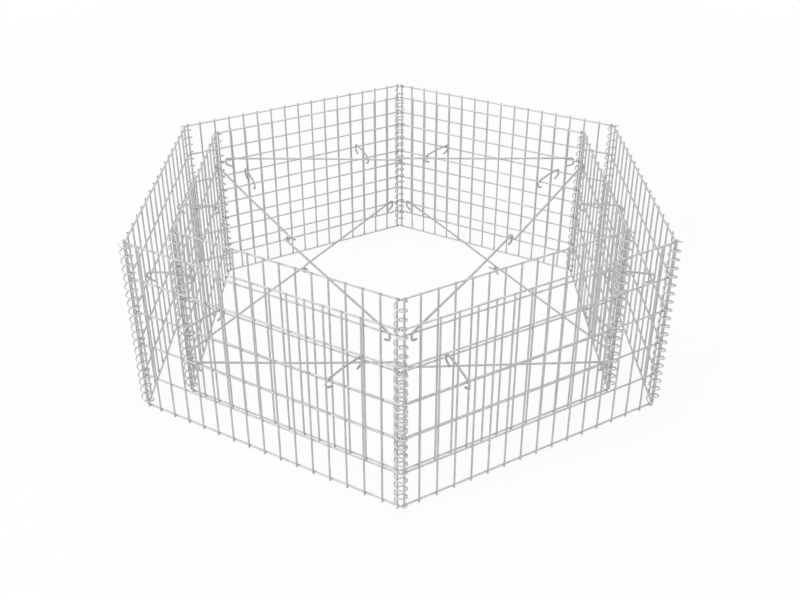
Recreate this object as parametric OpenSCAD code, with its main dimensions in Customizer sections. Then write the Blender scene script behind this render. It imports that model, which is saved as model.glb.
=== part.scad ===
// Hexagonal double-walled gabion raised bed, empty, in galvanised welded mesh.
// Two six-sided rings of mesh panels stand one inside the other. A spiral joins
// the panels at each corner, long hooked ties brace the planting space, and short
// hooked ties hold the two rings apart.
// Millimetres, +Z up, origin at the centre of the footprint on the ground.

/* [Rings] */
// Side of the outer hexagon, corner to corner
outer_side = 800; // [760:10:1100]
// Side of the inner hexagon, corner to corner
inner_side = 675; // [480:5:720]

/* [Mesh] */
// Spacing of the upright wires in an outer panel
outer_pitch = 50; // [40:1:70]
// Spacing of the upright wires in an inner panel
inner_pitch = 47.5; // [40:0.5:70]
// Spacing of the level wires
row_height = 100; // [80:1:130]
// Rows of cells from bottom to top
rows = 5; // [5:1:8]
// Diameter of the mesh wire
mesh_wire = 5; // [3:0.5:5]
// Share of the wire's diameter that a weld sinks
weld_sink = 0.15; // [0.1:0.01:0.25]
// How far the upright wires stand past the first and last level wires
wire_stub = 5; // [4:0.5:10]
// Distance of the first upright wire from the corner
edge_inset = 8.5; // [7:0.5:10]

/* [Corner spirals] */
// Diameter of the spiral's wire
coil_wire = 4; // [2.5:0.1:4.2]
// Radius of the spiral, to the middle of its wire
coil_radius = 15.5; // [15:0.5:18]
// Turns of the spiral in one row of cells
turns_per_row = 4; // [3:1:5]

/* [Ties] */
// Diameter of the tie wire
tie_wire = 6; // [3:0.1:6.5]
// Radius of a hook's bend, to the middle of its wire
hook_radius = 12; // [10:0.5:13]
// Radius of the bend of an eye at the middle of a long tie
eye_radius = 10; // [9:0.5:12]
// Play between a hook and what it holds
hook_play = 0.5; // [0.3:0.1:1]
// Distance from the corner to where a long tie crosses the inner panel
long_tie_inset = 39; // [34:1:42]
// Rows from the ground up to the level wire that holds the lower long ties
lower_tie_rise = 1; // [1:1:2]
// Rows from the top down to the level wire that holds the upper long ties
upper_tie_drop = 1; // [1:1:2]
// Rows from the top down to the level wire that holds the short ties
short_tie_drop = 2; // [1:1:3]
// Cell, counted from the corner, that a short tie passes through
short_tie_cell = 2; // [1:1:4]
// Place of a short tie's inner hook within its cell, as a share of the cell
short_tie_share = 0.7; // [0.25:0.05:0.75]
// How far a short tie leans along the panel from its inner to its outer hook
short_tie_lean = 16; // [0:1:30]

/* [Hidden] */
sides = 6;
turn = 360 / sides;
// Sides of a mesh bar, and the radius that gives it the round wire's section
bar_sides = 8;
bar_radius = mesh_wire / 2 * sqrt(2 * PI / (bar_sides * sin(360 / bar_sides)));
// Level and upright wires lie on either side of the panel's middle plane
weld_offset = mesh_wire * (1 - weld_sink) / 2;
// Level wires end this far past the edge upright
level_overhang = mesh_wire;
panel_height = rows * row_height + 2 * wire_stub;
wire_facets = 24;
// Bent wires are made in stretches that stop just short of each other inside a
// short, thin sleeve
joint_gap = 0.15;
sleeve_length = 1;
sleeve_wall = 0.1;

outer_cells = floor(outer_side / outer_pitch);
inner_cells = floor(inner_side / inner_pitch);
// Perpendicular distance between the two rings' panels
ring_gap = (outer_side - inner_side) * cos(turn / 2);
// Distance along a panel between the outer corner and the foot of the inner one
ring_step = (outer_side - inner_side) * sin(turn / 2);

coil_pitch = row_height / turns_per_row;
// A turn is two half rings, tilted opposite ways so that they meet end to end
coil_tilt = asin(coil_pitch / 4 / coil_radius);
coil_halves = 2 * turns_per_row * rows - 1;
// The spiral's axis is midway between the two edge uprights of its corner
coil_inward = edge_inset * sin(turn / 2) - weld_offset * cos(turn / 2);

tie_radius = tie_wire / 2;
lower_tie_row = lower_tie_rise;
upper_tie_row = rows - upper_tie_drop;
short_tie_row = rows - short_tie_drop;
// Least clearance between a hook and the upright wires on either side of it
upright_clearance = 3;
hook_margin = bar_radius + tie_radius + upright_clearance;
// Height of a tie's middle above the middle of the level wire under it
tie_seat = bar_radius + tie_radius + hook_play;
// Sweep and tail of the hooks that go round the mesh, in degrees and millimetres
mesh_hook_sweep = 160;
mesh_hook_tail = 18;
// Sweep and tail of the hooks that join the two halves of a long tie
eye_hook_sweep = 172;
eye_hook_tail = 14;
// How far the two eyes of a long tie reach into each other
eye_reach = (tie_wire + hook_play) / 2;
// The level wire lies this far inside the middle of a short tie's hook
hook_past = 1;
// The long ties cross the level wires at a slant, so their hooks reach further past
// them, to keep a seat's distance from them halfway down the bend
clearing_angle = 45;
clearing_rise = tie_seat - hook_radius * (1 - cos(clearing_angle));
long_hook_past = sqrt(tie_seat ^ 2 - clearing_rise ^ 2) / sin(turn / 2)
    - hook_radius * sin(clearing_angle);

// Middle of the crossing of a long tie and a level wire, with the corner between
// the tie's two ends on +X: the distance out, then the distance along the tie
long_tie_place = clear_of_uprights(long_tie_inset, inner_side, inner_cells, inner_pitch);
long_tie_out = inner_side * cos(turn) + long_tie_place * sin(turn / 2)
    - weld_offset * cos(turn / 2);
long_tie_half = inner_side * sin(turn) - long_tie_place * cos(turn / 2)
    - weld_offset * sin(turn / 2);

panel_colour = [0.72, 0.73, 0.74];
coil_colour = [0.66, 0.67, 0.69];
tie_colour = [0.62, 0.63, 0.65];

// Height of a level wire's middle, with row 0 at the ground
function level_z(row) = wire_stub + row * row_height;

// Place along a panel of an upright wire: the edge uprights keep their inset, and
// the two end cells take up what whole cells leave over
function upright_x(i, side, cells, pitch) =
    i == 0 ? edge_inset
    : i == cells ? side - edge_inset
    : side / 2 + (i - cells / 2) * pitch;

// A place along a panel, moved within its own cell to keep clear of its uprights
function clear_of_uprights(x, side, cells, pitch) =
    let (regular = floor((x - side / 2) / pitch + cells / 2),
         i = max(0, min(cells - 1, regular)),
         start = upright_x(i, side, cells, pitch),
         end = upright_x(i + 1, side, cells, pitch))
    max(start + hook_margin, min(end - hook_margin, x));

// Straight mesh bar along +Z
module bar(length) {
    rotate([0, 0, 180 / bar_sides])
        cylinder(h = length, r = bar_radius, $fn = bar_sides);
}

// Welded mesh panel along +X from its corner, with its outer face towards -Y
module mesh_panel(side, cells, pitch) {
    for (i = [0:cells])
        translate([upright_x(i, side, cells, pitch), -weld_offset, 0])
            bar(panel_height);
    for (row = [0:rows])
        translate([edge_inset - level_overhang, weld_offset, level_z(row)])
            rotate([0, 90, 0])
                bar(side - 2 * (edge_inset - level_overhang));
}

// Round wire bent about the origin, level, from +X round towards +Y
module bent_wire(bend_radius, sweep, wire) {
    trim = joint_gap / bend_radius * 180 / PI;
    rotate([0, 0, trim])
        rotate_extrude(angle = sweep - 2 * trim, $fn = wire_facets * 2)
            translate([bend_radius, 0])
                circle(d = wire, $fn = wire_facets);
}

// Round wire along +X that stops short of its ends where they are joined
module straight_wire(length, wire, free_end = false) {
    translate([joint_gap, 0, 0])
        rotate([0, 90, 0])
            cylinder(h = length - (free_end ? 1 : 2) * joint_gap, d = wire, $fn = wire_facets);
}

// Sleeve along +X round the joint of two stretches of wire
module sleeve(wire) {
    rotate([0, 90, 0])
        cylinder(h = sleeve_length, d = wire + 2 * sleeve_wall, center = true,
            $fn = wire_facets);
}

// Spiral round +Z: half rings that tilt one way at the back, the other in front
module spiral() {
    for (i = [0:coil_halves - 1]) {
        in_front = i % 2;
        translate([0, 0, level_z(0) + (i + 1) * coil_pitch / 2]) {
            rotate([0, in_front ? coil_tilt : -coil_tilt, 0])
                rotate([0, 0, 180 * in_front])
                    bent_wire(coil_radius, 180, coil_wire);
            if (i < coil_halves - 1)
                translate([coil_radius * cos(coil_tilt) * (in_front ? -1 : 1), 0,
                        coil_pitch / 4])
                    rotate([0, 0, 90])
                        sleeve(coil_wire);
        }
    }
}

// Hook that starts at the origin along +X and bends down, with a straight tail
module hook(radius, sweep, tail) {
    sleeve(tie_wire);
    rotate([90, 0, 0])
        translate([0, -radius, 0]) {
            rotate([0, 0, 90 - sweep])
                bent_wire(radius, sweep, tie_wire);
            rotate([0, 0, -sweep])
                translate([0, radius, 0]) {
                    sleeve(tie_wire);
                    straight_wire(tail, tie_wire, true);
                }
        }
}

// Straight tie along +X from the origin to the bend of a hook for the mesh
module tie_shaft(length) {
    straight_wire(length, tie_wire);
    translate([length, 0, 0])
        mesh_hook();
}

module mesh_hook() {
    hook(hook_radius, mesh_hook_sweep, mesh_hook_tail);
}

// Half of a long tie, along +X from where its eye holds the other half's eye, to
// the level wire of the inner panel. The eye stands up or, turned, lies flat, and
// the half with the flat eye dips and veers by the radius of the bend to suit
module long_tie_half(flat_eye) {
    length = long_tie_half + long_hook_past + eye_reach - eye_radius;
    reach = eye_radius - eye_reach;
    veer = flat_eye ? asin(eye_radius / length) : 0;
    translate([reach + length, 0, tie_seat])
        rotate([0, -veer, veer])
            translate([-length, 0, 0]) {
                tie_shaft(length);
                rotate([flat_eye ? -90 : 0, 0, 180])
                    hook(eye_radius, eye_hook_sweep, eye_hook_tail);
            }
}

// Places one half of a long tie whose ends hook on beside corners k and k + 2
module long_tie(k, row, towards_start) {
    rotate([0, 0, turn * (k + 1) - 90])
        translate([long_tie_out, 0, level_z(row)])
            rotate([0, 0, towards_start ? -90 : 90])
                color(tie_colour)
                    long_tie_half(!towards_start);
}

// Short tie from the inner to the outer panel, both of which run along +X
module short_tie(inner_x) {
    outer_x = clear_of_uprights(inner_x + ring_step - short_tie_lean,
        outer_side, outer_cells, outer_pitch);
    along = outer_x - ring_step - inner_x;
    span = norm([along, ring_gap]) + 2 * hook_past;
    translate([inner_x, weld_offset, level_z(short_tie_row) + tie_seat])
        rotate([0, 0, atan2(-ring_gap, along)])
            translate([-hook_past, 0, 0]) {
                tie_shaft(span);
                rotate([0, 0, 180])
                    mesh_hook();
            }
}

// Panel, spiral or pair of short ties number k, counted round from the -Y corner
module on_side(k, side) {
    rotate([0, 0, turn * k])
        translate([0, -side, 0])
            rotate([0, 0, turn / 2])
                children();
}

module outer_panel(k) {
    color(panel_colour)
        on_side(k, outer_side)
            mesh_panel(outer_side, outer_cells, outer_pitch);
}

module inner_panel(k) {
    color(panel_colour)
        on_side(k, inner_side)
            mesh_panel(inner_side, inner_cells, inner_pitch);
}

module corner_spiral(k, side) {
    color(coil_colour)
        rotate([0, 0, turn * k])
            translate([0, coil_inward - side, 0])
                spiral();
}

module spacer_ties(k) {
    first = upright_x(short_tie_cell, inner_side, inner_cells, inner_pitch);
    last = upright_x(inner_cells - 1 - short_tie_cell, inner_side, inner_cells, inner_pitch);
    color(tie_colour)
        on_side(k, inner_side)
            for (start = [first, last])
                short_tie(start + short_tie_share * inner_pitch);
}

outer_panel(0);  // outer_panel_1
outer_panel(1);  // outer_panel_2
outer_panel(2);  // outer_panel_3
outer_panel(3);  // outer_panel_4
outer_panel(4);  // outer_panel_5
outer_panel(5);  // outer_panel_6
inner_panel(0);  // inner_panel_1
inner_panel(1);  // inner_panel_2
inner_panel(2);  // inner_panel_3
inner_panel(3);  // inner_panel_4
inner_panel(4);  // inner_panel_5
inner_panel(5);  // inner_panel_6
corner_spiral(0, outer_side);  // outer_spiral_1
corner_spiral(1, outer_side);  // outer_spiral_2
corner_spiral(2, outer_side);  // outer_spiral_3
corner_spiral(3, outer_side);  // outer_spiral_4
corner_spiral(4, outer_side);  // outer_spiral_5
corner_spiral(5, outer_side);  // outer_spiral_6
corner_spiral(0, inner_side);  // inner_spiral_1
corner_spiral(1, inner_side);  // inner_spiral_2
corner_spiral(2, inner_side);  // inner_spiral_3
corner_spiral(3, inner_side);  // inner_spiral_4
corner_spiral(4, inner_side);  // inner_spiral_5
corner_spiral(5, inner_side);  // inner_spiral_6
long_tie(0, upper_tie_row, true);  // upper_tie_1_start
long_tie(0, upper_tie_row, false);  // upper_tie_1_end
long_tie(2, upper_tie_row, true);  // upper_tie_2_start
long_tie(2, upper_tie_row, false);  // upper_tie_2_end
long_tie(4, upper_tie_row, true);  // upper_tie_3_start
long_tie(4, upper_tie_row, false);  // upper_tie_3_end
long_tie(1, lower_tie_row, true);  // lower_tie_1_start
long_tie(1, lower_tie_row, false);  // lower_tie_1_end
long_tie(3, lower_tie_row, true);  // lower_tie_2_start
long_tie(3, lower_tie_row, false);  // lower_tie_2_end
long_tie(5, lower_tie_row, true);  // lower_tie_3_start
long_tie(5, lower_tie_row, false);  // lower_tie_3_end
spacer_ties(0);  // spacer_ties_1
spacer_ties(1);  // spacer_ties_2
spacer_ties(2);  // spacer_ties_3
spacer_ties(3);  // spacer_ties_4
spacer_ties(4);  // spacer_ties_5
spacer_ties(5);  // spacer_ties_6
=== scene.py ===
"""The looks of a hexagonal double-walled gabion raised bed in galvanised welded mesh.

Every wire of the bed is made round, slightly irregular and cropped at a slant at
its ends, as drawn, welded and hot-dip galvanised wire is. The places and the overall
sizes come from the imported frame, in metres, +Z up.
"""

import logging
import math
from dataclasses import dataclass, field
from enum import Enum
from typing import Any, Iterable, Mapping, Sequence

import bpy
from mathutils import Matrix, Vector


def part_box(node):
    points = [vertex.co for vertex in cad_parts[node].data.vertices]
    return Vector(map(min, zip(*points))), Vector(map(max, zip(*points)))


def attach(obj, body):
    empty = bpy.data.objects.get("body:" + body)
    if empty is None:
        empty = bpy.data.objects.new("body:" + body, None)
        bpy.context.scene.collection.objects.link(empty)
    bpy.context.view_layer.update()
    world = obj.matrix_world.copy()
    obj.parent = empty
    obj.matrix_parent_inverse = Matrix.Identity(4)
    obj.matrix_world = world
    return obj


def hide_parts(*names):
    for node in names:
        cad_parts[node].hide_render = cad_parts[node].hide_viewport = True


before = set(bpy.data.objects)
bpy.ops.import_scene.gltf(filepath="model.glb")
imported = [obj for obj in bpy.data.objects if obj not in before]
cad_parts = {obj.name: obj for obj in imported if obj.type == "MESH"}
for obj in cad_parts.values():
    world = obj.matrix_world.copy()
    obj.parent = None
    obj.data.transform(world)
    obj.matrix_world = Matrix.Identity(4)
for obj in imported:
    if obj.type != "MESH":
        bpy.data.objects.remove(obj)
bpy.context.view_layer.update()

BODY = "root"
MM = 0.001
SIDES = 6
TURN = math.tau / SIDES
END_RING = 0.99
"""Above this, the mark of a wire's end is that of the end ring itself."""
SIDE_FACE_LIMIT = 4.5
"""A face with more neighbours than this is an end cap and not a side face."""
SEEDS_PER_PLACE = 10
SPIRAL_SEED = 5
WHITE = (1.0, 1.0, 1.0, 1.0)

log = logging.getLogger("gabion_bed")


class Slot(Enum):
    """Names for three material slots, which this script does not use."""

    MESH = "mesh_wire"
    SPIRAL = "spiral_wire"
    TIE = "tie_wire"


class Ring(Enum):
    """The bed's two rings of panels."""

    OUTER = "outer"
    INNER = "inner"


class Eye(Enum):
    """How the middle eye of half a long tie is turned about its shaft."""

    UPRIGHT = 0.0
    FLAT = -math.pi / 2


class Mark(Enum):
    """Names of the attributes that the wires carry for their finish."""

    CUT = "cut_end"
    WELD = "weld"
    CENTRE = "wire_centre"
    ALONG = "wire_along"
    REACH = "wire_reach"


# ---------------------------------------------------------------------------
# Node trees


class Flow:
    """A socket whose value flows on, so that Python sums on it add nodes."""

    def __init__(self, graph: "Graph", socket: bpy.types.NodeSocket) -> None:
        """Keeps the tree's graph and the output socket."""
        self.graph = graph
        self.socket = socket


class Value(Flow):
    """A flow of numbers: the operators add Math nodes."""

    def __add__(self, other: Any) -> "Value":
        """The sum."""
        return self.graph.math("ADD", self, other)

    def __sub__(self, other: Any) -> "Value":
        """The difference."""
        return self.graph.math("SUBTRACT", self, other)

    def __rsub__(self, other: Any) -> "Value":
        """The difference, with the number first."""
        return self.graph.math("SUBTRACT", other, self)

    def __mul__(self, other: Any) -> "Value":
        """The product."""
        return self.graph.math("MULTIPLY", self, other)

    def __truediv__(self, other: Any) -> "Value":
        """The quotient."""
        return self.graph.math("DIVIDE", self, other)

    def __rtruediv__(self, other: Any) -> "Value":
        """The quotient, with the number first."""
        return self.graph.math("DIVIDE", other, self)

    def __neg__(self) -> "Value":
        """The value with its sign turned."""
        return self.graph.math("MULTIPLY", self, -1.0)


class Arrow(Flow):
    """A flow of vectors: the operators add Vector Math nodes."""

    def __add__(self, other: Any) -> "Arrow":
        """The sum of two vectors."""
        return self.graph.vector("ADD", self, other)

    def __sub__(self, other: Any) -> "Arrow":
        """The difference of two vectors."""
        return self.graph.vector("SUBTRACT", self, other)

    def __mul__(self, scale: Any) -> "Arrow":
        """The vector scaled by a number."""
        made = self.graph.node("ShaderNodeVectorMath", {"operation": "SCALE"}, {0: self, "Scale": scale})
        return Arrow(self.graph, made.outputs[0])

    def dot(self, other: Any) -> Value:
        """The dot product with another vector."""
        made = self.graph.node("ShaderNodeVectorMath", {"operation": "DOT_PRODUCT"}, {0: self, 1: other})
        return Value(self.graph, made.outputs["Value"])


class Graph:
    """A node tree under construction, of a material or of Geometry Nodes."""

    def __init__(self, tree: bpy.types.NodeTree) -> None:
        """Keeps the tree that the nodes go into."""
        self.tree = tree

    def node(
        self,
        kind: str,
        settings: Mapping[str, Any] | None = None,
        sockets: Mapping[str | int, Any] | None = None,
    ) -> bpy.types.Node:
        """Adds one node.

        Args:
            kind: The node's type.
            settings: Its properties, set first. "stops" fills a colour ramp.
            sockets: Values or flows for its inputs, by name or number.

        Returns:
            The new node.
        """
        made = self.tree.nodes.new(kind)
        for name, value in (settings or {}).items():
            if name == "stops":
                self._fill_ramp(made, value)
            else:
                setattr(made, name, value)
        for key, value in (sockets or {}).items():
            self.feed(self._input(made, key), value)
        return made

    @staticmethod
    def _fill_ramp(made: bpy.types.Node, stops: Sequence[tuple[float, float]]) -> None:
        """Sets a ramp's stops, each a place and a grey level."""
        ramp = made.color_ramp
        while len(ramp.elements) < len(stops):
            ramp.elements.new(1.0)
        for element, (place, grey) in zip(ramp.elements, stops):
            element.position = place
            element.color = (grey, grey, grey, 1.0)

    @staticmethod
    def _input(made: bpy.types.Node, key: str | int) -> bpy.types.NodeSocket:
        """The input that a number or a name stands for, among those in use."""
        if isinstance(key, int):
            return made.inputs[key]
        return next(s for s in made.inputs if s.name == key and not s.is_unavailable)

    def feed(self, socket: bpy.types.NodeSocket, value: Any) -> None:
        """Links a flow or a socket into an input, or sets the input's own value."""
        if isinstance(value, Flow):
            self.tree.links.new(value.socket, socket)
        elif isinstance(value, bpy.types.NodeSocket):
            self.tree.links.new(value, socket)
        elif isinstance(value, (list, tuple)) and socket.is_multi_input:
            for each in value:
                self.feed(socket, each)
        else:
            socket.default_value = value

    def math(self, operation: str, *values: Any) -> Value:
        """Adds a Math node and gives its result."""
        made = self.node("ShaderNodeMath", {"operation": operation}, dict(enumerate(values)))
        return Value(self, made.outputs[0])

    def vector(self, operation: str, *values: Any) -> Arrow:
        """Adds a Vector Math node and gives its result."""
        made = self.node("ShaderNodeVectorMath", {"operation": operation}, dict(enumerate(values)))
        return Arrow(self, made.outputs[0])

    def combine(self, x: Any = 0.0, y: Any = 0.0, z: Any = 0.0) -> Arrow:
        """A vector from its three parts."""
        return Arrow(self, self.node("ShaderNodeCombineXYZ", None, {0: x, 1: y, 2: z}).outputs[0])

    def equals(self, value: Any, target: Any) -> Value:
        """1 where a count has its target value, 0 elsewhere."""
        return self.math("COMPARE", value, target, 0.5)

    def noise(self, place: Any, scale: float, detail: float = 2.0, roughness: float = 0.5) -> Value:
        """Smooth noise about 0.5.

        Args:
            place: The vector that the noise is read at.
            scale: Waves in a metre.
            detail: Finer octaves that are added.
            roughness: Strength of each finer octave.

        Returns:
            The noise, from 0 to 1.
        """
        made = self.node(
            "ShaderNodeTexNoise",
            {"noise_dimensions": "3D"},
            {"Vector": place, "Scale": scale, "Detail": detail, "Roughness": roughness},
        )
        return Value(self, made.outputs[0])

    def blend(self, factor: Any, low: Any, high: Any) -> bpy.types.NodeSocket:
        """A colour that goes from low to high as the factor goes from 0 to 1."""
        made = self.node("ShaderNodeMix", {"data_type": "RGBA"}, {"Factor": factor, "A": low, "B": high})
        return next(s for s in made.outputs if not s.is_unavailable)


class GeometryTree(Graph):
    """A Geometry Nodes tree with named inputs, whose result is a finished wire mesh."""

    KINDS = {
        float: "NodeSocketFloat",
        int: "NodeSocketInt",
        Vector: "NodeSocketVector",
        bpy.types.Material: "NodeSocketMaterial",
    }

    def __init__(self, name: str, values: Mapping[str, Any], lines: bpy.types.Mesh | None = None) -> None:
        """Starts a tree.

        Args:
            name: The tree's name.
            values: Each input's name and the value that the piece gives it.
            lines: Middle lines that the tree starts from, where it makes none itself.
        """
        super().__init__(bpy.data.node_groups.new(name, "GeometryNodeTree"))
        self.values = dict(values)
        self.lines = lines or bpy.data.meshes.new(name)
        face = self.tree.interface
        face.new_socket(name="Lines", in_out="INPUT", socket_type="NodeSocketGeometry")
        for title, value in self.values.items():
            face.new_socket(name=title, in_out="INPUT", socket_type=self.KINDS[type(value)])
        face.new_socket(name="Geometry", in_out="OUTPUT", socket_type="NodeSocketGeometry")
        self.group = self.node("NodeGroupInput")

    def given(self, title: str) -> Value:
        """The flow of the input with that name."""
        return Value(self, self.group.outputs[title])

    def field(self, kind: str, output: int = 0) -> Value:
        """A field, such as the index, that takes no input."""
        return Value(self, self.node(kind).outputs[output])

    def geometry(
        self, kind: str, settings: Mapping[str, Any] | None, sockets: Mapping[str | int, Any]
    ) -> Any:
        """Adds a node and gives the geometry that comes out of it."""
        return self.node(kind, settings, sockets).outputs[0]

    def note(
        self, geometry: Any, mark: Mark, value: Any, data: str = "FLOAT", domain: str = "POINT"
    ) -> Any:
        """Stores a named attribute on the geometry."""
        return self.geometry(
            "GeometryNodeStoreNamedAttribute",
            {"data_type": data, "domain": domain},
            {"Geometry": geometry, "Name": mark.value, "Value": value},
        )

    def noted(self, mark: Mark, data: str = "FLOAT") -> bpy.types.NodeSocket:
        """Reads a named attribute."""
        return self.geometry("GeometryNodeInputNamedAttribute", {"data_type": data}, {"Name": mark.value})

    def sweep(self, curves: Any, radius: Any, sides: int, crop: "Crop") -> Any:
        """Turns curves into round wires with cropped ends.

        Args:
            curves: The wires' middle lines.
            radius: The wires' radius.
            sides: Sides of a wire's section.
            crop: How the wires' ends were cut.

        Returns:
            The wires' mesh, smooth along the wire and flat at its ends.
        """
        reach = self.field("GeometryNodeSplineParameter")
        ends = self.geometry("GeometryNodeCurveEndpointSelection", None, {"Start Size": 1, "End Size": 1})
        tangent = Arrow(self, self.node("GeometryNodeInputTangent").outputs[0])
        place = Arrow(self, self.node("GeometryNodeInputPosition").outputs[0])
        curves = self.note(curves, Mark.ALONG, tangent, "FLOAT_VECTOR")
        curves = self.note(curves, Mark.CENTRE, place, "FLOAT_VECTOR")
        curves = self.note(curves, Mark.REACH, reach)
        curves = self.note(curves, Mark.CUT, ends)
        circle = self.geometry(
            "GeometryNodeCurvePrimitiveCircle", {"mode": "RADIUS"}, {"Resolution": sides, "Radius": radius}
        )
        pinch = 1.0 - Value(self, ends) * crop.pinch
        wires = self.geometry(
            "GeometryNodeCurveToMesh",
            None,
            {"Curve": curves, "Profile Curve": circle, "Scale": pinch, "Fill Caps": True},
        )
        wires = self._slant_ends(wires, radius, crop)
        corners = self.field("GeometryNodeInputMeshFaceNeighbors")
        caps = self.math("GREATER_THAN", corners, SIDE_FACE_LIMIT)
        wires = self.geometry(
            "GeometryNodeSetShadeSmooth", {"domain": "FACE"}, {"Geometry": wires, "Shade Smooth": True}
        )
        wires = self.geometry(
            "GeometryNodeSetShadeSmooth",
            {"domain": "FACE"},
            {"Geometry": wires, "Selection": caps, "Shade Smooth": False},
        )
        return self.note(wires, Mark.CUT, caps, domain="FACE")

    def _slant_ends(self, wires: Any, radius: Any, crop: "Crop") -> Any:
        """Draws the end rings in, more on one side, as a cropper leaves them."""
        centre = Arrow(self, self.noted(Mark.CENTRE, "FLOAT_VECTOR"))
        along = Arrow(self, self.noted(Mark.ALONG, "FLOAT_VECTOR"))
        reach = Value(self, self.noted(Mark.REACH))
        at_end = Value(self, self.noted(Mark.CUT))
        place = Arrow(self, self.node("GeometryNodeInputPosition").outputs[0])
        lean = (place - centre).dot(Vector(crop.lean).normalized())
        inward = (1.0 - reach * 2.0) * (lean + radius) * crop.slope
        sharp = self.math("GREATER_THAN", at_end, END_RING)
        return self.geometry(
            "GeometryNodeSetPosition",
            None,
            {"Geometry": wires, "Selection": sharp, "Offset": along * inward},
        )

    def finish(self, geometry: Any, title: str) -> bpy.types.Object:
        """Places the geometry, closes the tree and turns its result into a plain mesh.

        Args:
            geometry: The piece in its own frame.
            title: The piece's name.

        Returns:
            The piece, at the origin, with its place in its mesh.
        """
        for mark in (Mark.CENTRE, Mark.ALONG, Mark.REACH):
            geometry = self.geometry(
                "GeometryNodeRemoveAttribute", None, {"Geometry": geometry, "Name": mark.value}
            )
        if "Place" in self.values:
            geometry = self.geometry(
                "GeometryNodeTransform",
                None,
                {
                    "Geometry": geometry,
                    "Translation": self.given("Place"),
                    "Rotation": self.given("Heading"),
                },
            )
        real = self.geometry("GeometryNodeRealizeInstances", None, {"Geometry": geometry})
        dressed = self.geometry(
            "GeometryNodeSetMaterial", None, {"Geometry": real, "Material": self.given("Finish")}
        )
        self.node("NodeGroupOutput", None, {0: dressed})
        return self._plain_mesh(title)

    def _plain_mesh(self, title: str) -> bpy.types.Object:
        """Evaluates the tree once, keeps its mesh and takes the modifier away."""
        piece = bpy.data.objects.new(title, self.lines)
        bpy.context.scene.collection.objects.link(piece)
        modifier = piece.modifiers.new("wires", "NODES")
        modifier.node_group = self.tree
        for item in self.tree.interface.items_tree:
            if item.in_out == "INPUT" and item.name in self.values:
                modifier[item.identifier] = self.values[item.name]
        graph = bpy.context.evaluated_depsgraph_get()
        mesh = bpy.data.meshes.new_from_object(
            piece.evaluated_get(graph), preserve_all_data_layers=True, depsgraph=graph
        )
        piece.modifiers.clear()
        piece.data = mesh
        mesh.name = title
        return piece


# ---------------------------------------------------------------------------
# Finishes


@dataclass(frozen=True)
class Galvanising:
    """A hot-dip zinc coat on steel wire: mottled, faintly speckled, duller at welds and cuts."""

    title: str
    zinc: tuple[float, float, float, float]
    dull: tuple[float, float, float, float]
    bright: tuple[float, float, float, float]
    weld_tint: tuple[float, float, float, float] = (0.40, 0.40, 0.40, 1.0)
    steel: tuple[float, float, float, float] = (0.26, 0.26, 0.26, 1.0)
    metallic: float = 0.4
    roughness: float = 0.42
    patch_waves: float = 38.0
    patch_stops: tuple[float, float] = (0.38, 0.62)
    grain_waves: float = 620.0
    grain_stops: tuple[float, float] = (0.52, 0.68)
    grain_depth: float = 0.12 * MM
    bump_strength: float = 0.35
    fleck_share: float = 0.4
    weld_share: float = 0.45
    cut_share: float = 0.8
    mottle_roughness: float = 0.12
    fleck_roughness: float = 0.06
    weld_roughness: float = 0.12
    cut_roughness: float = 0.2

    def material(self) -> bpy.types.Material:
        """Makes the material.

        Returns:
            A material that reads object coordinates and the wires' own marks.
        """
        made = bpy.data.materials.new(self.title)
        made.use_nodes = True
        made.node_tree.nodes.clear()
        graph = Graph(made.node_tree)
        place = graph.node("ShaderNodeTexCoord").outputs["Object"]
        patches = graph.noise(place, self.patch_waves, detail=4.0, roughness=0.6)
        spangle = graph.noise(place, self.grain_waves, detail=2.0)
        cut = self._mark(graph, Mark.CUT)
        weld = self._mark(graph, Mark.WELD)
        mottle = self._ramp(graph, patches, self.patch_stops)
        flecks = self._ramp(graph, spangle, self.grain_stops)
        coat = graph.blend(mottle, self.zinc, self.dull)
        coat = graph.blend(flecks * self.fleck_share, coat, self.bright)
        coat = graph.blend(weld * self.weld_share, coat, self.weld_tint)
        colour = graph.blend(cut * self.cut_share, coat, self.steel)
        rough = (
            mottle * self.mottle_roughness
            + flecks * self.fleck_roughness
            + weld * self.weld_roughness
            + cut * self.cut_roughness
            + self.roughness
        )
        bump = graph.node(
            "ShaderNodeBump",
            None,
            {"Strength": self.bump_strength, "Distance": self.grain_depth, "Height": patches + spangle},
        )
        shader = graph.node(
            "ShaderNodeBsdfPrincipled",
            None,
            {
                "Base Color": colour,
                "Metallic": self.metallic,
                "Roughness": rough,
                "Normal": bump.outputs[0],
            },
        )
        graph.node("ShaderNodeOutputMaterial", None, {"Surface": shader.outputs[0]})
        return made

    @staticmethod
    def _ramp(graph: Graph, source: Any, stops: tuple[float, float]) -> Value:
        """A noise stretched so that it runs from 0 at the first stop to 1 at the second."""
        low, high = stops
        ramp = graph.node("ShaderNodeValToRGB", {"stops": [(low, 0.0), (high, 1.0)]}, {0: source})
        return Value(graph, ramp.outputs[0])

    @staticmethod
    def _mark(graph: Graph, mark: Mark) -> Value:
        """The strength of one of the wires' marks."""
        attribute = graph.node("ShaderNodeAttribute", {"attribute_name": mark.value})
        return Value(graph, attribute.outputs["Fac"])


@dataclass(frozen=True)
class Crop:
    """How a cropper leaves the end of a wire."""

    pinch: float = 0.07
    slope: float = 0.3
    lean: tuple[float, float, float] = (0.7, 0.3, 0.65)


# ---------------------------------------------------------------------------
# The bed


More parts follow.
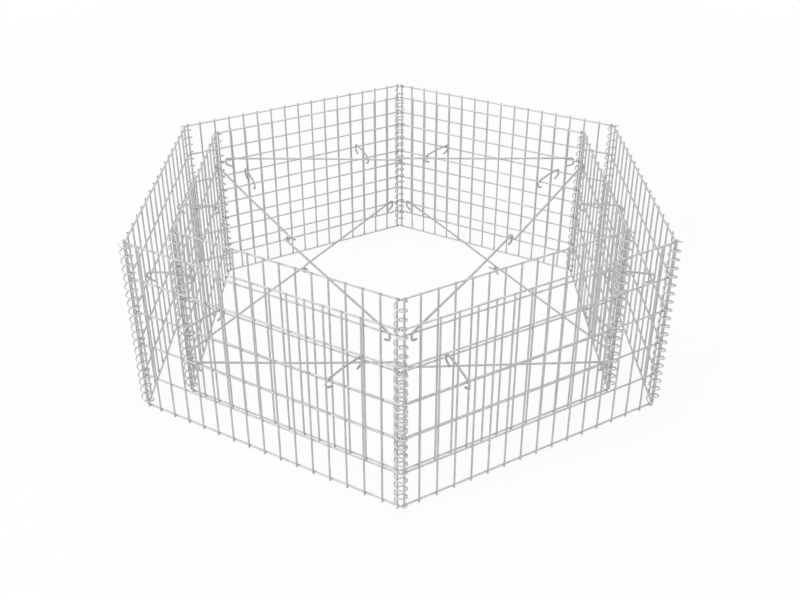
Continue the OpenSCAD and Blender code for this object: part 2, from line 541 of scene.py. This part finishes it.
@dataclass
class RingSize:
    """The measures of one ring, taken from the frame."""

    ring: Ring
    pitch: float

    def __post_init__(self) -> None:
        """Reads the panel that faces +X and the spiral of the front corner."""
        low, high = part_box(f"{self.ring.value}_panel_2")
        self.apothem = (low.x + high.x) / 2
        self.side = self.apothem / math.cos(TURN / 2)
        self.level_length = high.y - low.y
        self.height = high.z - low.z
        self.cells = math.floor(self.side / self.pitch + 0.01)
        self.coil_low, self.coil_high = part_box(f"{self.ring.value}_spiral_1")

    def corner(self, number: int, distance: float) -> Vector:
        """A point on the line from the middle to a corner, counted round from the front."""
        return Matrix.Rotation(TURN * number, 3, "Z") @ Vector((0.0, -distance, 0.0))


@dataclass
class Mesh:
    """What all the welded panels share."""

    rows: int = 5
    stub: float = 5 * MM
    edge_inset: float = 8.5 * MM
    wire_radius: float = 2.5 * MM
    sink: float = 0.15

    @property
    def weld_offset(self) -> float:
        """Distance of either layer of wires from the panel's middle plane."""
        return self.wire_radius * (1 - self.sink)

    def row_height(self, height: float) -> float:
        """Spacing of the level wires in a panel of that height."""
        return (height - 2 * self.stub) / self.rows


@dataclass
class WeldedPanel:
    """One side of a ring: uprights outside, level wires inside, welded at every crossing."""

    ring: RingSize
    number: int
    mesh: Mesh
    finish: bpy.types.Material
    crop: Crop = Crop()
    waviness: float = 0.45 * MM
    wave_length: float = 0.16
    sides: int = 12
    upright_knots: int = 28
    level_knots: int = 44
    end_segment: float = 0.9 * MM
    wire_lane: float = 7.3
    seed_lane: float = 3.1
    level_phase: float = 50.0
    bend_out: float = 0.25
    nugget: Vector = field(default_factory=lambda: Vector((3.35, 1.9, 3.2)) * MM)
    nugget_sizes: tuple[float, float] = (0.88, 1.1)
    nugget_turn: float = 0.5

    @property
    def node(self) -> str:
        """The CAD node that this panel stands for."""
        return f"{self.ring.ring.value}_panel_{self.number + 1}"

    def build(self) -> bpy.types.Object:
        """Makes the panel's wires and weld nuggets as one mesh."""
        ring, mesh = self.ring, self.mesh
        tree = GeometryTree(
            self.node,
            {
                "Side": ring.side,
                "Cells": ring.cells,
                "Pitch": ring.pitch,
                "Height": ring.height,
                "Level length": ring.level_length,
                "Edge inset": mesh.edge_inset,
                "Rows": mesh.rows,
                "Row height": mesh.row_height(ring.height),
                "Stub": mesh.stub,
                "Wire radius": mesh.wire_radius,
                "Weld offset": mesh.weld_offset,
                "Waviness": self.waviness,
                "Seed": SEEDS_PER_PLACE * self.number + list(Ring).index(ring.ring),
                "Place": ring.corner(self.number, ring.side),
                "Heading": Vector((0.0, 0.0, TURN * (self.number + 0.5))),
                "Finish": self.finish,
            },
        )
        wires = tree.geometry(
            "GeometryNodeJoinGeometry", None, {0: [self._uprights(tree), self._level_wires(tree)]}
        )
        swept = tree.sweep(wires, tree.given("Wire radius"), self.sides, self.crop)
        joined = tree.geometry("GeometryNodeJoinGeometry", None, {0: [swept, self._nuggets(tree)]})
        return tree.finish(joined, f"{self.node}_wires")

    def _upright_place(self, tree: GeometryTree, index: Any) -> Value:
        """Place along the panel of the upright with that number."""
        side, cells, inset = tree.given("Side"), tree.given("Cells"), tree.given("Edge inset")
        regular = side * 0.5 + (index - cells * 0.5) * tree.given("Pitch")
        first = tree.equals(index, 0.0)
        last = tree.equals(index, cells)
        return regular + first * (inset - regular) + last * (side - inset - regular)

    def _wire(self, tree: GeometryTree, start: Arrow, end: Arrow, length: Value, knots: int) -> Any:
        """A straight middle line whose first and last stretches are short."""
        line = tree.geometry(
            "GeometryNodeCurvePrimitiveLine", {"mode": "POINTS"}, {"Start": start, "End": end}
        )
        fine = tree.geometry(
            "GeometryNodeResampleCurve", {"mode": "COUNT"}, {"Curve": line, "Count": knots}
        )
        index = tree.field("GeometryNodeSplineParameter", 2)
        first = tree.equals(index, 0.0)
        last = tree.equals(index, knots - 1.0)
        inner = tree.math("MAXIMUM", 0.0, tree.math("MINIMUM", 1.0, (index - 1.0) / (knots - 3.0)))
        end_share = self.end_segment / length
        share = end_share + inner * (1.0 - end_share * 2.0) + (last - first) * end_share
        place = start + (end - start) * share
        return tree.geometry("GeometryNodeSetPosition", None, {"Geometry": fine, "Position": place})

    def _row_of(
        self, tree: GeometryTree, wire: Any, count: Any, place: Arrow, bend: Arrow, phase: float
    ) -> Any:
        """Copies a middle line to each place and makes each copy slightly wavy.

        Args:
            tree: The panel's tree.
            wire: The middle line.
            count: How many copies.
            place: The copies' places, by their index.
            bend: The way that the first noise pushes the wire.
            phase: Keeps the noise of one layer apart from the other's.

        Returns:
            The wavy middle lines.
        """
        points = tree.geometry("GeometryNodePoints", None, {"Count": count, "Position": place})
        copies = tree.geometry("GeometryNodeInstanceOnPoints", None, {"Points": points, "Instance": wire})
        lines = tree.geometry("GeometryNodeRealizeInstances", None, {"Geometry": copies})
        along = tree.field("GeometryNodeSplineParameter", 1)
        which = tree.field("GeometryNodeCurveOfPoint")
        lane = which * self.wire_lane + tree.given("Seed") * self.seed_lane + phase
        wave = tree.noise(tree.combine(along, lane, 0.0), 1.0 / self.wave_length, detail=3.0) - 0.5
        return tree.geometry(
            "GeometryNodeSetPosition",
            None,
            {"Geometry": lines, "Offset": bend * (wave * 2.0 * tree.given("Waviness"))},
        )

    def _uprights(self, tree: GeometryTree) -> Any:
        """The upright wires' middle lines, on the outer side."""
        out = -tree.given("Weld offset")
        height = tree.given("Height")
        foot, top = tree.combine(0.0, out, 0.0), tree.combine(0.0, out, height)
        wire = self._wire(tree, foot, top, height, self.upright_knots)
        index = tree.field("GeometryNodeInputIndex")
        places = tree.combine(self._upright_place(tree, index), 0.0, 0.0)
        bend = tree.combine(1.0, self.bend_out, 0.0)
        return self._row_of(tree, wire, tree.given("Cells") + 1.0, places, bend, 0.0)

    def _level_wires(self, tree: GeometryTree) -> Any:
        """The level wires' middle lines, on the inner side."""
        offset = tree.given("Weld offset")
        length = tree.given("Level length")
        start = (tree.given("Side") - length) * 0.5
        first, last = tree.combine(start, offset, 0.0), tree.combine(start + length, offset, 0.0)
        wire = self._wire(tree, first, last, length, self.level_knots)
        index = tree.field("GeometryNodeInputIndex")
        places = tree.combine(0.0, 0.0, tree.given("Stub") + index * tree.given("Row height"))
        bend = tree.combine(0.0, self.bend_out, 1.0)
        return self._row_of(tree, wire, tree.given("Rows") + 1.0, places, bend, self.level_phase)

    def _nuggets(self, tree: GeometryTree) -> Any:
        """The metal squeezed out between the wires at each weld."""
        across = tree.given("Cells") + 1.0
        index = tree.field("GeometryNodeInputIndex")
        column = tree.math("MODULO", index, across)
        row = tree.math("FLOOR", (index + 0.5) / across)
        places = tree.combine(
            self._upright_place(tree, column), 0.0, tree.given("Stub") + row * tree.given("Row height")
        )
        points = tree.geometry(
            "GeometryNodePoints", None, {"Count": across * (tree.given("Rows") + 1.0), "Position": places}
        )
        bead = tree.geometry("GeometryNodeMeshUVSphere", None, {"Segments": 8, "Rings": 5, "Radius": 1.0})
        smooth = tree.geometry(
            "GeometryNodeSetShadeSmooth", {"domain": "FACE"}, {"Geometry": bead, "Shade Smooth": True}
        )
        size = tree.node(
            "FunctionNodeRandomValue",
            {"data_type": "FLOAT_VECTOR"},
            {
                "Min": self.nugget * self.nugget_sizes[0],
                "Max": self.nugget * self.nugget_sizes[1],
                "Seed": tree.given("Seed"),
            },
        )
        turn = tree.node(
            "FunctionNodeRandomValue",
            {"data_type": "FLOAT_VECTOR"},
            {
                "Min": (0.0, -self.nugget_turn, 0.0),
                "Max": (0.0, self.nugget_turn, 0.0),
                "Seed": tree.given("Seed") + 1.0,
            },
        )
        beads = tree.geometry(
            "GeometryNodeInstanceOnPoints",
            None,
            {"Points": points, "Instance": smooth, "Rotation": turn.outputs[0], "Scale": size.outputs[0]},
        )
        real = tree.geometry("GeometryNodeRealizeInstances", None, {"Geometry": beads})
        return tree.note(real, Mark.WELD, 1.0)


@dataclass
class CornerSpiral:
    """The left-handed spiral that laces the two panels of a corner together."""

    ring: RingSize
    corner: int
    mesh: Mesh
    finish: bpy.types.Material
    slide: float
    head: float
    wire_radius: float = 2 * MM
    slack: float = 0.2 * MM
    turns_per_row: int = 4
    knots_per_turn: int = 24
    sides: int = 10
    wobble: float = 0.4 * MM
    seed_lane: float = 5.7
    swell_rate: float = 0.7
    drift_rate: float = 0.25
    rise_rate: float = 0.4
    drift_share: float = 2.0
    rise_share: float = 3.0
    crop: Crop = Crop(pinch=0.12, slope=0.35)

    @property
    def node(self) -> str:
        """The CAD node that this spiral stands for."""
        return f"{self.ring.ring.value}_spiral_{self.corner + 1}"

    def build(self) -> bpy.types.Object:
        """Makes the spiral as one round wire."""
        ring = self.ring
        low, high = ring.coil_low, ring.coil_high
        pitch = self.mesh.row_height(ring.height) / self.turns_per_row
        foot = low.z + self.wire_radius
        knots = round((self.head - foot) / pitch * self.knots_per_turn) + 1
        tree = GeometryTree(
            self.node,
            {
                "Coil radius": (high.y - low.y) / 2 - self.wire_radius - self.slack,
                "Wire radius": self.wire_radius,
                "Pitch": pitch,
                "Foot": foot,
                "Head": self.head,
                "Front strand": self.mesh.stub + self.slide,
                "Wobble": self.wobble,
                "Knots": knots,
                "Seed": SEEDS_PER_PLACE * self.corner + list(Ring).index(ring.ring) + SPIRAL_SEED,
                "Place": ring.corner(self.corner, -(low.y + high.y) / 2),
                "Heading": Vector((0.0, 0.0, TURN * self.corner)),
                "Finish": self.finish,
            },
        )
        line = tree.geometry(
            "GeometryNodeCurvePrimitiveLine", {"mode": "POINTS"}, {"End": (0.0, 0.0, 1.0)}
        )
        fine = tree.geometry(
            "GeometryNodeResampleCurve", {"mode": "COUNT"}, {"Curve": line, "Count": tree.given("Knots")}
        )
        coil = tree.geometry(
            "GeometryNodeSetPosition", None, {"Geometry": fine, "Position": self._place(tree)}
        )
        wire = tree.sweep(coil, tree.given("Wire radius"), self.sides, self.crop)
        return tree.finish(wire, f"{self.node}_wire")

    def _place(self, tree: GeometryTree) -> Arrow:
        """A knot's place: as the spiral rises it turns clockwise, seen from above."""
        share = tree.field("GeometryNodeSplineParameter")
        height = tree.given("Foot") + share * (tree.given("Head") - tree.given("Foot"))
        turns = (height - tree.given("Front strand")) / tree.given("Pitch")
        angle = -(turns + 0.25) * math.tau
        lane = tree.given("Seed") * self.seed_lane
        swell, drift_x, drift_y, rise = (
            tree.noise(tree.combine(turns, lane, depth), rate) - 0.5
            for depth, rate in (
                (0.0, self.swell_rate),
                (20.0, self.drift_rate),
                (40.0, self.drift_rate),
                (60.0, self.rise_rate),
            )
        )
        wobble = tree.given("Wobble")
        radius = tree.given("Coil radius") + swell * wobble
        return tree.combine(
            radius * tree.math("COSINE", angle) + drift_x * wobble * self.drift_share,
            radius * tree.math("SINE", angle) + drift_y * wobble * self.drift_share,
            height + rise * wobble * self.rise_share,
        )


@dataclass
class Hook:
    """A bend down from the end of a shaft that runs along +X, with a straight tail."""

    radius: float
    sweep: float
    tail: float
    steps: int = 14
    tail_steps: int = 3

    def points(self) -> list[Vector]:
        """Points from just past the shaft's end to the end of the tail."""
        made = []
        for i in range(1, self.steps + 1):
            angle = self.sweep * i / self.steps
            made.append(Vector((math.sin(angle), 0.0, math.cos(angle) - 1.0)) * self.radius)
        heading = Vector((math.cos(self.sweep), 0.0, -math.sin(self.sweep)))
        root = made[-1]
        for i in range(1, self.tail_steps + 1):
            made.append(root + heading * self.tail * i / self.tail_steps)
        return made


@dataclass
class HookedWire:
    """A straight wire along +X with a hook at each end."""

    length: float
    start: Hook
    end: Hook
    start_roll: float = 0.0
    bow_up: float = 0.0
    bow_aside: float = 0.0
    steps: int = 26

    def path(self) -> list[Vector]:
        """The wire's middle line, from the tip of one hook to the tip of the other."""
        turned = Matrix.Rotation(math.pi, 3, "Z") @ Matrix.Rotation(self.start_roll, 3, "X")
        head = [turned @ point for point in reversed(self.start.points())]
        shaft = []
        for i in range(self.steps + 1):
            share = i / self.steps
            lift = math.sin(math.pi * share) ** 2
            shaft.append(Vector((self.length * share, self.bow_aside * lift, self.bow_up * lift)))
        far = Vector((self.length, 0.0, 0.0))
        return head + shaft + [far + point for point in self.end.points()]


@dataclass
class TieWire:
    """What all the ties share."""

    mesh: Mesh
    inner: RingSize
    outer: RingSize
    finish: bpy.types.Material
    wire_radius: float = 3 * MM
    hook_radius: float = 12 * MM
    eye_radius: float = 10 * MM
    play: float = 0.1 * MM
    eye_play: float = 0.5 * MM
    mesh_sweep: float = math.radians(160)
    mesh_tail: float = 18 * MM
    eye_sweep: float = math.radians(172)
    eye_tail: float = 14 * MM
    sides: int = 12
    crop: Crop = Crop(pinch=0.1, slope=0.45)

    @property
    def seat(self) -> float:
        """Height of a tie's middle line above the level wire that it rests on."""
        return self.mesh.wire_radius + self.wire_radius + self.play

    def level(self, row: int) -> float:
        """Height of a level wire, with row 0 at the ground."""
        return self.mesh.stub + row * self.mesh.row_height(self.inner.height)

    def mesh_hook(self) -> Hook:
        """The hook that goes round a level wire."""
        return Hook(self.hook_radius, self.mesh_sweep, self.mesh_tail)

    def eye_hook(self) -> Hook:
        """The open eye at the middle of a long tie."""
        return Hook(self.eye_radius, self.eye_sweep, self.eye_tail)

    def piece(self, title: str, paths: Iterable[Sequence[Vector]]) -> bpy.types.Object:
        """Makes round wires along middle lines, as one mesh.

        Args:
            title: The piece's name.
            paths: The wires' middle lines, in place.

        Returns:
            The piece.
        """
        lines = bpy.data.meshes.new(f"{title}_lines")
        points: list[Vector] = []
        edges: list[tuple[int, int]] = []
        for path in paths:
            edges += [(len(points) + i, len(points) + i + 1) for i in range(len(path) - 1)]
            points += path
        lines.from_pydata(points, edges, [])
        tree = GeometryTree(title, {"Wire radius": self.wire_radius, "Finish": self.finish}, lines)
        curves = tree.geometry("GeometryNodeMeshToCurve", None, {0: tree.given("Lines")})
        return tree.finish(tree.sweep(curves, tree.given("Wire radius"), self.sides, self.crop), title)


@dataclass
class LongTie:
    """Two hooked wires that join at the middle and brace the planting space."""

    wire: TieWire
    corner: int
    row: int
    place: float = 39 * MM
    bow: float = 1.6 * MM
    flat_bow: tuple[float, float] = (0.6, -0.8)
    upright_bow: tuple[float, float] = (-1.0, 0.5)

    def half(self, eye: Eye) -> list[Vector]:
        """The middle line of one half, from the middle eye to the hook on the mesh.

        Args:
            eye: The way that the half's middle eye is turned.

        Returns:
            The middle line, in place.
        """
        wire = self.wire
        side, offset = wire.inner.side, wire.mesh.weld_offset
        lean = TURN / 2
        out = side * math.cos(TURN) + self.place * math.sin(lean) - offset * math.cos(lean)
        reach_out = side * math.sin(TURN) - self.place * math.cos(lean) - offset * math.sin(lean)
        eye_reach = wire.wire_radius + wire.eye_play / 2
        length = reach_out + self._past(lean) + eye_reach - wire.eye_radius
        near = wire.eye_radius - eye_reach
        flat = eye is Eye.FLAT
        veer = math.asin(wire.eye_radius / length) if flat else 0.0
        bow_up, bow_aside = self.flat_bow if flat else self.upright_bow
        line = HookedWire(
            length,
            wire.eye_hook(),
            wire.mesh_hook(),
            start_roll=eye.value,
            bow_up=self.bow * bow_up,
            bow_aside=self.bow * bow_aside,
        )
        placed = (
            Matrix.Rotation(TURN * (self.corner + 1) - math.pi / 2, 4, "Z")
            @ Matrix.Translation((out, 0.0, wire.level(self.row)))
            @ Matrix.Rotation(math.pi / 2 if flat else -math.pi / 2, 4, "Z")
            @ Matrix.Translation((near + length, 0.0, wire.seat))
            @ Matrix.Rotation(veer, 4, "Z")
            @ Matrix.Rotation(-veer, 4, "Y")
            @ Matrix.Translation((-length, 0.0, 0.0))
        )
        return [placed @ point for point in line.path()]

    def _past(self, lean: float) -> float:
        """How far past the level wire the shaft goes, for its bend to clear the wire."""
        wire = self.wire
        halfway = math.pi / 4
        rise = wire.seat - wire.hook_radius * (1 - math.cos(halfway))
        aside = math.sqrt(wire.seat ** 2 - rise ** 2)
        return aside / math.sin(lean) - wire.hook_radius * math.sin(halfway) + wire.eye_play


@dataclass
class SpacerTies:
    """The two short hooked wires that hold the rings apart along one side."""

    wire: TieWire
    number: int
    row: int = 3
    cell: int = 2
    share: float = 0.7
    lean: float = 16 * MM
    hook_past: float = 1 * MM
    bow: float = 2.4 * MM

    def paths(self) -> list[list[Vector]]:
        """The middle lines of both ties, in place."""
        inner = self.wire.inner
        first = inner.side / 2 + (self.cell - inner.cells / 2 + self.share) * inner.pitch
        last = inner.side / 2 + (inner.cells / 2 - 1 - self.cell + self.share) * inner.pitch
        return [self._path(first), self._path(last)]

    def _path(self, inner_x: float) -> list[Vector]:
        """The middle line of the tie whose inner hook is at that place along the panel."""
        wire = self.wire
        gap = wire.outer.apothem - wire.inner.apothem
        span = math.hypot(self.lean, gap) + 2 * self.hook_past
        line = HookedWire(span, wire.mesh_hook(), wire.mesh_hook(), bow_up=self.bow, steps=12)
        corner = wire.inner.corner(self.number, wire.inner.side)
        placed = (
            Matrix.Translation(corner)
            @ Matrix.Rotation(TURN * (self.number + 0.5), 4, "Z")
            @ Matrix.Translation((inner_x, wire.mesh.weld_offset, wire.level(self.row) + wire.seat))
            @ Matrix.Rotation(math.atan2(-gap, -self.lean), 4, "Z")
            @ Matrix.Translation((-self.hook_past, 0.0, 0.0))
        )
        return [placed @ point for point in line.path()]


@dataclass
class Bed:
    """The whole raised bed."""

    mesh: Mesh = field(default_factory=Mesh)
    outer: RingSize = field(default_factory=lambda: RingSize(Ring.OUTER, 50 * MM))
    inner: RingSize = field(default_factory=lambda: RingSize(Ring.INNER, 47.5 * MM))
    upper_row: int = 4
    lower_row: int = 1
    outer_spirals: Sequence[tuple[float, float]] = (
        (-12.5, 503.0), (2.0, 505.0), (-3.0, 504.0), (12.5, 502.0), (1.0, 506.0), (-2.0, 505.0)
    )
    inner_spirals: Sequence[tuple[float, float]] = (
        (3.0, 504.0), (-2.0, 503.0), (12.5, 505.0), (-3.0, 502.0), (12.5, 506.0), (2.0, 504.0)
    )
    panel_finish: Galvanising = Galvanising(
        "galvanised_mesh", (0.56, 0.56, 0.56, 1.0), (0.48, 0.48, 0.48, 1.0), (0.68, 0.68, 0.68, 1.0)
    )
    spiral_finish: Galvanising = Galvanising(
        "galvanised_spiral", (0.68, 0.68, 0.68, 1.0), (0.58, 0.58, 0.58, 1.0), (0.80, 0.80, 0.80, 1.0),
        roughness=0.36,
    )
    tie_finish: Galvanising = Galvanising(
        "galvanised_tie", (0.50, 0.50, 0.50, 1.0), (0.43, 0.43, 0.43, 1.0), (0.62, 0.62, 0.62, 1.0),
        roughness=0.4,
    )

    def build(self) -> None:
        """Makes every piece and hands each to the frame."""
        self._panels()
        self._spirals()
        self._ties()

    def _panels(self) -> None:
        """The twelve welded panels."""
        finish = self.panel_finish.material()
        for ring in (self.outer, self.inner):
            for number in range(SIDES):
                panel = WeldedPanel(ring, number, self.mesh, finish)
                hand_over(panel.build(), panel.node)

    def _spirals(self) -> None:
        """The twelve corner spirals, each screwed in to a slightly different height."""
        finish = self.spiral_finish.material()
        for ring, settings in ((self.outer, self.outer_spirals), (self.inner, self.inner_spirals)):
            for corner, (slide, head) in enumerate(settings):
                spiral = CornerSpiral(ring, corner, self.mesh, finish, slide * MM, head * MM)
                hand_over(spiral.build(), spiral.node)

    def _ties(self) -> None:
        """The six long ties, in halves, and the pairs of short ones."""
        wire = TieWire(self.mesh, self.inner, self.outer, self.tie_finish.material())
        for name, row, first in (("upper", self.upper_row, 0), ("lower", self.lower_row, 1)):
            for count in range(SIDES // 2):
                tie = LongTie(wire, first + 2 * count, row)
                for end, eye in (("start", Eye.UPRIGHT), ("end", Eye.FLAT)):
                    node = f"{name}_tie_{count + 1}_{end}"
                    hand_over(wire.piece(f"{node}_wire", [tie.half(eye)]), node)
        for number in range(SIDES):
            node = f"spacer_ties_{number + 1}"
            hand_over(wire.piece(f"{node}_wires", SpacerTies(wire, number).paths()), node)


def hand_over(piece: bpy.types.Object, node: str) -> None:
    """Ties a finished piece to the frame in place of its CAD node.

    Args:
        piece: The piece.
        node: The CAD node that it stands for.
    """
    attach(piece, BODY)
    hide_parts(node)
    log.info("%s: %d faces", piece.name, len(piece.data.polygons))


# ---------------------------------------------------------------------------
# Studio


@dataclass
class Lamp:
    """A soft square lamp that faces a point."""

    title: str
    place: Vector
    size: float
    power: float
    target: Vector = field(default_factory=lambda: Vector((0.0, 0.0, 0.2)))

    def hang(self) -> None:
        """Adds the lamp to the scene."""
        data = bpy.data.lights.new(self.title, "AREA")
        data.shape = "SQUARE"
        data.size = self.size
        data.energy = self.power
        lamp = bpy.data.objects.new(self.title, data)
        lamp.location = self.place
        lamp.rotation_euler = (self.target - self.place).to_track_quat("-Z", "Y").to_euler()
        bpy.context.scene.collection.objects.link(lamp)


@dataclass
class Studio:
    """A white floor and surroundings, soft lamps and the camera."""

    floor_size: float = 60.0
    floor_colour: tuple[float, float, float, float] = (0.9, 0.9, 0.9, 1.0)
    floor_shade: float = 0.12
    shade_start: float = 1.4
    shade_end: float = 4.5
    sky: float = 0.5
    aim_height: float = 0.30
    distance: float = 2.874
    elevation: float = math.radians(28.03)
    yaw: float = math.radians(-0.13)
    lens: float = 43.6
    shift_up: float = -0.075

    def build(self) -> None:
        """Sets the scene round the bed."""
        self._floor()
        self._world()
        self._camera()
        for lamp in (
            Lamp("key_lamp", Vector((-4.2, -3.0, 4.0)), 3.4, 170.0),
            Lamp("top_lamp", Vector((0.3, 0.6, 3.6)), 2.6, 43.0),
            Lamp("fill_lamp", Vector((3.4, -3.8, 2.2)), 2.8, 40.0),
        ):
            lamp.hang()
        settings = bpy.context.scene.view_settings
        settings.view_transform = "Standard"

    @staticmethod
    def _seen(graph: Graph) -> Value:
        """1 for rays from the camera, or by way of a reflection or glass."""
        rays = graph.node("ShaderNodeLightPath").outputs
        direct = Value(graph, rays["Is Camera Ray"])
        mirrored = graph.math("MAXIMUM", Value(graph, rays["Is Glossy Ray"]),
                              Value(graph, rays["Is Transmission Ray"]))
        return graph.math("MAXIMUM", direct, mirrored)

    def _floor(self) -> None:
        """A wide white floor that keeps a faint shadow near the bed."""
        half = self.floor_size / 2
        mesh = bpy.data.meshes.new("floor")
        rim = [(-half, -half, 0), (half, -half, 0), (half, half, 0), (-half, half, 0)]
        mesh.from_pydata(rim, [], [(0, 1, 2, 3)])
        floor = bpy.data.objects.new("floor", mesh)
        bpy.context.scene.collection.objects.link(floor)
        material = bpy.data.materials.new("floor_white")
        material.use_nodes = True
        material.node_tree.nodes.clear()
        graph = Graph(material.node_tree)
        matt = graph.node("ShaderNodeBsdfDiffuse", None, {"Color": self.floor_colour}).outputs[0]
        white = graph.node("ShaderNodeEmission", None, {"Color": WHITE, "Strength": 1.0}).outputs[0]
        place = graph.node("ShaderNodeTexCoord").outputs["Object"]
        length = graph.node("ShaderNodeVectorMath", {"operation": "LENGTH"}, {0: place})
        away = Value(graph, length.outputs["Value"])
        fade = (self.shade_end - away) / (self.shade_end - self.shade_start)
        near = graph.math("MAXIMUM", 0.0, graph.math("MINIMUM", 1.0, fade))
        share = self._seen(graph) * (1.0 - near * self.floor_shade)
        mixed = graph.node("ShaderNodeMixShader", None, {0: share, 1: matt, 2: white}).outputs[0]
        graph.node("ShaderNodeOutputMaterial", None, {"Surface": mixed})
        mesh.materials.append(material)

    def _world(self) -> None:
        """White surroundings to look at, and an even pale sky for light."""
        world = bpy.data.worlds.new("studio")
        world.use_nodes = True
        world.node_tree.nodes.clear()
        graph = Graph(world.node_tree)
        seen = self._seen(graph)
        strength = seen * (1.0 - self.sky) + self.sky
        light = graph.node("ShaderNodeBackground", None, {"Color": WHITE, "Strength": strength})
        graph.node("ShaderNodeOutputWorld", None, {"Surface": light.outputs[0]})
        bpy.context.scene.world = world

    def _camera(self) -> None:
        """The camera, in front of the near corner and above it."""
        data = bpy.data.cameras.new("camera")
        data.lens = self.lens
        data.shift_y = self.shift_up
        camera = bpy.data.objects.new("camera", data)
        across = math.cos(self.elevation)
        back = Vector((math.sin(self.yaw) * across, -math.cos(self.yaw) * across, math.sin(self.elevation)))
        camera.location = Vector((0.0, 0.0, self.aim_height)) + back * self.distance
        camera.rotation_euler = (-back).to_track_quat("-Z", "Y").to_euler()
        bpy.context.scene.collection.objects.link(camera)
        bpy.context.scene.camera = camera


def main() -> None:
    """Builds the bed and the studio, and notes the sizes."""
    logging.basicConfig(level=logging.INFO, format="%(name)s: %(message)s")
    Studio().build()
    Bed().build()


if __name__ == "__main__":
    main()
